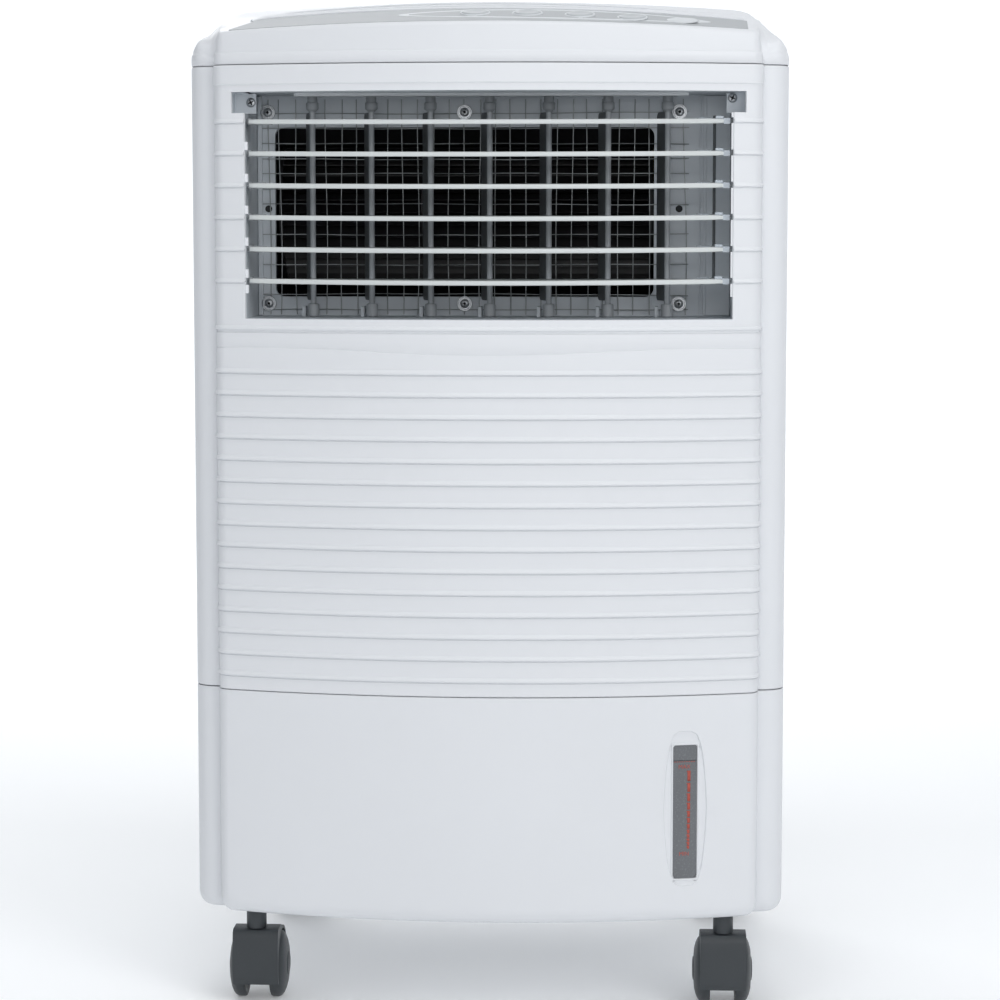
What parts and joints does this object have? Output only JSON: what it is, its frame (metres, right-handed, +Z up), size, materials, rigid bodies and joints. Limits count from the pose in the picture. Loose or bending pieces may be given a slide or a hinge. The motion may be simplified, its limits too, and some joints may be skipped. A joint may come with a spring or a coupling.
{
  "type": "evaporative cooler",
  "caption": "Free-standing evaporative air cooler on casters: ribbed bowed front, louvred outlet with swinging vanes, sloping button panel, level window, slide-out tank.",
  "frame": {"origin": "on the floor under the middle of the body's bounding box", "axes": "+Z up, front of the cooler faces -Y, +X to the right as seen from the front"},
  "size_m": [0.433, 0.3824, 0.7428],
  "materials": {
    "white_plastic": "fine-textured moulded white plastic, satin",
    "panel_grey": "smooth light grey control panel, satin",
    "button_grey": "smooth pale grey membrane",
    "recess_grey": "mid grey moulded plastic with a blue cast, satin",
    "louver_grey": "light silver grey plastic, satin",
    "rod_grey": "dark grey moulded plastic",
    "wire": "zinc plated wire",
    "black_plastic": "black moulded plastic",
    "charcoal": "charcoal moulded nylon, fine grain",
    "window_grey": "smoked blue grey clear plastic",
    "pad_brown": "corrugated cellulose honeycomb",
    "filter_black": "fine nylon mesh",
    "steel": "plain sheet steel, rolled",
    "board_green": "lacquered circuit board",
    "clear_hose": "milky silicone tube"
  },
  "bodies": {
    "root": {"base_housing": "white_plastic", "level_window": "window_grey", "front_shell": "white_plastic", "rear_shell": "white_plastic", "top_cover": "white_plastic", "control_panel": "panel_grey", "receiver_window": "button_grey", "control_board": "board_green", "outlet_frame": "recess_grey", "wire_guard": "wire", "vane_motor": "steel", "blower_housing": "black_plastic", "blower_motor": "steel", "cooling_pad": "pad_brown", "water_tray": "black_plastic", "pump": "black_plastic", "water_hose": "clear_hose", "cord_gland": "charcoal", "caster_front_left_stem": "charcoal", "caster_front_right_stem": "charcoal", "caster_rear_left_stem": "charcoal", "caster_rear_right_stem": "charcoal"},
    "button_1": {"button_1": "button_grey"},
    "button_2": {"button_2": "button_grey"},
    "button_3": {"button_3": "button_grey"},
    "button_4": {"button_4": "button_grey"},
    "louver_1": {"louver_1": "louver_grey"},
    "louver_2": {"louver_2": "louver_grey"},
    "louver_3": {"louver_3": "louver_grey"},
    "louver_4": {"louver_4": "louver_grey"},
    "louver_5": {"louver_5": "louver_grey"},
    "louver_6": {"louver_6": "louver_grey"},
    "louver_link": {"louver_link": "rod_grey"},
    "vane_1": {"vane_1": "rod_grey"},
    "vane_2": {"vane_2": "rod_grey"},
    "vane_3": {"vane_3": "rod_grey"},
    "vane_4": {"vane_4": "rod_grey"},
    "vane_5": {"vane_5": "rod_grey"},
    "vane_6": {"vane_6": "rod_grey"},
    "vane_7": {"vane_7": "rod_grey"},
    "vane_link": {"vane_link": "rod_grey"},
    "blower_wheel": {"blower_wheel": "black_plastic"},
    "rear_grille": {"rear_grille": "white_plastic", "dust_filter": "filter_black"},
    "water_tank": {"water_tank": "white_plastic"},
    "tank_latch": {"tank_latch": "white_plastic"},
    "caster_front_left": {"caster_front_left_hood": "charcoal"},
    "caster_front_left_wheel_a": {"caster_front_left_wheel_a": "charcoal"},
    "caster_front_left_wheel_b": {"caster_front_left_wheel_b": "charcoal"},
    "caster_front_right": {"caster_front_right_hood": "charcoal"},
    "caster_front_right_wheel_a": {"caster_front_right_wheel_a": "charcoal"},
    "caster_front_right_wheel_b": {"caster_front_right_wheel_b": "charcoal"},
    "caster_rear_left": {"caster_rear_left_hood": "charcoal"},
    "caster_rear_left_wheel_a": {"caster_rear_left_wheel_a": "charcoal"},
    "caster_rear_left_wheel_b": {"caster_rear_left_wheel_b": "charcoal"},
    "caster_rear_right": {"caster_rear_right_hood": "charcoal"},
    "caster_rear_right_wheel_a": {"caster_rear_right_wheel_a": "charcoal"},
    "caster_rear_right_wheel_b": {"caster_rear_right_wheel_b": "charcoal"}
  },
  "joints": [
    {"name": "button_1_press", "type": "slide", "parent": "root", "child": "button_1", "axis": [0, 0.2419, -0.9703], "range_m": [0, 0.0012], "stiffness_N_per_m": 300},
    {"name": "button_2_press", "type": "slide", "parent": "root", "child": "button_2", "axis": [0, 0.2419, -0.9703], "range_m": [0, 0.0012], "stiffness_N_per_m": 300},
    {"name": "button_3_press", "type": "slide", "parent": "root", "child": "button_3", "axis": [0, 0.2419, -0.9703], "range_m": [0, 0.0012], "stiffness_N_per_m": 300},
    {"name": "button_4_press", "type": "slide", "parent": "root", "child": "button_4", "axis": [0, 0.2419, -0.9703], "range_m": [0, 0.0012], "stiffness_N_per_m": 300},
    {"name": "louver_1_tilt", "type": "hinge", "parent": "root", "child": "louver_1", "pos_m": [0, -0.15, 0.6524], "axis": [1, 0, 0], "range_deg": [-20, 32]},
    {"name": "louver_2_tilt", "type": "hinge", "parent": "root", "child": "louver_2", "pos_m": [0, -0.15, 0.6296], "axis": [1, 0, 0], "range_deg": [-20, 32]},
    {"name": "louver_3_tilt", "type": "hinge", "parent": "root", "child": "louver_3", "pos_m": [0, -0.15, 0.6068], "axis": [1, 0, 0], "range_deg": [-20, 32]},
    {"name": "louver_4_tilt", "type": "hinge", "parent": "root", "child": "louver_4", "pos_m": [0, -0.15, 0.584], "axis": [1, 0, 0], "range_deg": [-20, 32]},
    {"name": "louver_5_tilt", "type": "hinge", "parent": "root", "child": "louver_5", "pos_m": [0, -0.15, 0.5612], "axis": [1, 0, 0], "range_deg": [-20, 32]},
    {"name": "louver_6_tilt", "type": "hinge", "parent": "root", "child": "louver_6", "pos_m": [0, -0.15, 0.5384], "axis": [1, 0, 0], "range_deg": [-20, 32]},
    {"name": "louver_link_pivot", "type": "hinge", "parent": "louver_1", "child": "louver_link", "pos_m": [0.1632, -0.13152, 0.65321], "axis": [1, 0, 0], "range_deg": [-32, 20]},
    {"name": "vane_1_swing", "type": "hinge", "parent": "root", "child": "vane_1", "pos_m": [-0.1296, -0.12, 0.6], "axis": [0, 0, 1], "range_deg": [-48, 22]},
    {"name": "vane_2_swing", "type": "hinge", "parent": "root", "child": "vane_2", "pos_m": [-0.0864, -0.12, 0.6], "axis": [0, 0, 1], "range_deg": [-48, 22]},
    {"name": "vane_3_swing", "type": "hinge", "parent": "root", "child": "vane_3", "pos_m": [-0.0432, -0.12, 0.6], "axis": [0, 0, 1], "range_deg": [-48, 22]},
    {"name": "vane_4_swing", "type": "hinge", "parent": "root", "child": "vane_4", "pos_m": [0, -0.12, 0.6], "axis": [0, 0, 1], "range_deg": [-48, 22]},
    {"name": "vane_5_swing", "type": "hinge", "parent": "root", "child": "vane_5", "pos_m": [0.0432, -0.12, 0.6], "axis": [0, 0, 1], "range_deg": [-48, 22]},
    {"name": "vane_6_swing", "type": "hinge", "parent": "root", "child": "vane_6", "pos_m": [0.0864, -0.12, 0.6], "axis": [0, 0, 1], "range_deg": [-48, 22]},
    {"name": "vane_7_swing", "type": "hinge", "parent": "root", "child": "vane_7", "pos_m": [0.1296, -0.12, 0.6], "axis": [0, 0, 1], "range_deg": [-48, 22]},
    {"name": "vane_link_pivot", "type": "hinge", "parent": "vane_7", "child": "vane_link", "pos_m": [0.1296, -0.108, 0.681], "axis": [0, 0, 1], "range_deg": [-22, 48]},
    {"name": "blower_spin", "type": "hinge", "parent": "root", "child": "blower_wheel", "pos_m": [0, -0.02, 0.59], "axis": [1, 0, 0], "continuous": true},
    {"name": "rear_grille_pull", "type": "slide", "parent": "root", "child": "rear_grille", "axis": [0, 1, 0], "range_m": [0, 0.08]},
    {"name": "tank_slide", "type": "slide", "parent": "root", "child": "water_tank", "axis": [0, 1, 0], "range_m": [0, 0.2]},
    {"name": "tank_latch_turn", "type": "hinge", "parent": "root", "child": "tank_latch", "pos_m": [0, 0.1897, 0.234], "axis": [0, 1, 0], "range_deg": [0, 90]},
    {"name": "caster_front_left_swivel", "type": "hinge", "parent": "root", "child": "caster_front_left", "pos_m": [-0.1735, -0.133, 0.05], "axis": [0, 0, 1], "continuous": true},
    {"name": "caster_front_left_wheel_a_roll", "type": "hinge", "parent": "caster_front_left", "child": "caster_front_left_wheel_a", "pos_m": [-0.1735, -0.115, 0.025], "axis": [1, 0, 0], "continuous": true},
    {"name": "caster_front_left_wheel_b_roll", "type": "hinge", "parent": "caster_front_left", "child": "caster_front_left_wheel_b", "pos_m": [-0.1735, -0.115, 0.025], "axis": [1, 0, 0], "continuous": true},
    {"name": "caster_front_right_swivel", "type": "hinge", "parent": "root", "child": "caster_front_right", "pos_m": [0.1735, -0.133, 0.05], "axis": [0, 0, 1], "continuous": true},
    {"name": "caster_front_right_wheel_a_roll", "type": "hinge", "parent": "caster_front_right", "child": "caster_front_right_wheel_a", "pos_m": [0.1735, -0.115, 0.025], "axis": [1, 0, 0], "continuous": true},
    {"name": "caster_front_right_wheel_b_roll", "type": "hinge", "parent": "caster_front_right", "child": "caster_front_right_wheel_b", "pos_m": [0.1735, -0.115, 0.025], "axis": [1, 0, 0], "continuous": true},
    {"name": "caster_rear_left_swivel", "type": "hinge", "parent": "root", "child": "caster_rear_left", "pos_m": [-0.1735, 0.145, 0.05], "axis": [0, 0, 1], "continuous": true},
    {"name": "caster_rear_left_wheel_a_roll", "type": "hinge", "parent": "caster_rear_left", "child": "caster_rear_left_wheel_a", "pos_m": [-0.1735, 0.163, 0.025], "axis": [1, 0, 0], "continuous": true},
    {"name": "caster_rear_left_wheel_b_roll", "type": "hinge", "parent": "caster_rear_left", "child": "caster_rear_left_wheel_b", "pos_m": [-0.1735, 0.163, 0.025], "axis": [1, 0, 0], "continuous": true},
    {"name": "caster_rear_right_swivel", "type": "hinge", "parent": "root", "child": "caster_rear_right", "pos_m": [0.1735, 0.145, 0.05], "axis": [0, 0, 1], "continuous": true},
    {"name": "caster_rear_right_wheel_a_roll", "type": "hinge", "parent": "caster_rear_right", "child": "caster_rear_right_wheel_a", "pos_m": [0.1735, 0.163, 0.025], "axis": [1, 0, 0], "continuous": true},
    {"name": "caster_rear_right_wheel_b_roll", "type": "hinge", "parent": "caster_rear_right", "child": "caster_rear_right_wheel_b", "pos_m": [0.1735, 0.163, 0.025], "axis": [1, 0, 0], "continuous": true}
  ],
  "couplings": [
    {"joint": "louver_2_tilt", "follows": "louver_1_tilt", "ratio": 1},
    {"joint": "louver_3_tilt", "follows": "louver_1_tilt", "ratio": 1},
    {"joint": "louver_4_tilt", "follows": "louver_1_tilt", "ratio": 1},
    {"joint": "louver_5_tilt", "follows": "louver_1_tilt", "ratio": 1},
    {"joint": "louver_6_tilt", "follows": "louver_1_tilt", "ratio": 1},
    {"joint": "louver_link_pivot", "follows": "louver_1_tilt", "ratio": -1},
    {"joint": "vane_1_swing", "follows": "vane_7_swing", "ratio": 1},
    {"joint": "vane_2_swing", "follows": "vane_7_swing", "ratio": 1},
    {"joint": "vane_3_swing", "follows": "vane_7_swing", "ratio": 1},
    {"joint": "vane_4_swing", "follows": "vane_7_swing", "ratio": 1},
    {"joint": "vane_5_swing", "follows": "vane_7_swing", "ratio": 1},
    {"joint": "vane_6_swing", "follows": "vane_7_swing", "ratio": 1},
    {"joint": "vane_link_pivot", "follows": "vane_7_swing", "ratio": -1}
  ]
}
